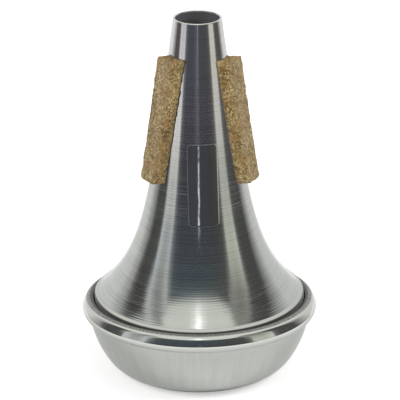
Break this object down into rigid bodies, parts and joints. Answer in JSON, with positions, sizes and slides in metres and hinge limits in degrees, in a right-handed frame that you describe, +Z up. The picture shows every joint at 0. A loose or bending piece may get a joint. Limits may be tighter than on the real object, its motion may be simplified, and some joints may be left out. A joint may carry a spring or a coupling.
{
  "type": "trumpet straight mute",
  "caption": "Hollow spun aluminium straight mute for a trumpet bell: flared body with an open neck, cork strips glued along the neck, and a closed bowl end with a rolled bead.",
  "frame": {"origin": "centre of the flat outer face of the bowl, which the mute stands on", "axes": "+Z up along the axis towards the open neck; -Y through the middle of the label; +X to the right of someone who faces the label"},
  "size_m": [0.1042, 0.1042, 0.1618],
  "materials": {
    "spun_body": "spun on a lathe, satin, with fine turning lines",
    "polished_bowl": "spun and polished, satin below the bead and bright on it",
    "cork": "pressed cork granules, cut edges",
    "dried_cement": "thin dried contact cement",
    "clear_film": "clear adhesive film, bare"
  },
  "bodies": {
    "root": {"body_shell": "spun_body", "end_bowl": "polished_bowl", "cork_strip_right": "cork", "cork_strip_left": "cork", "cork_strip_rear": "cork", "cork_cement_right": "dried_cement", "cork_cement_left": "dried_cement", "cork_cement_rear": "dried_cement", "clear_label": "clear_film"}
  },
  "joints": []
}
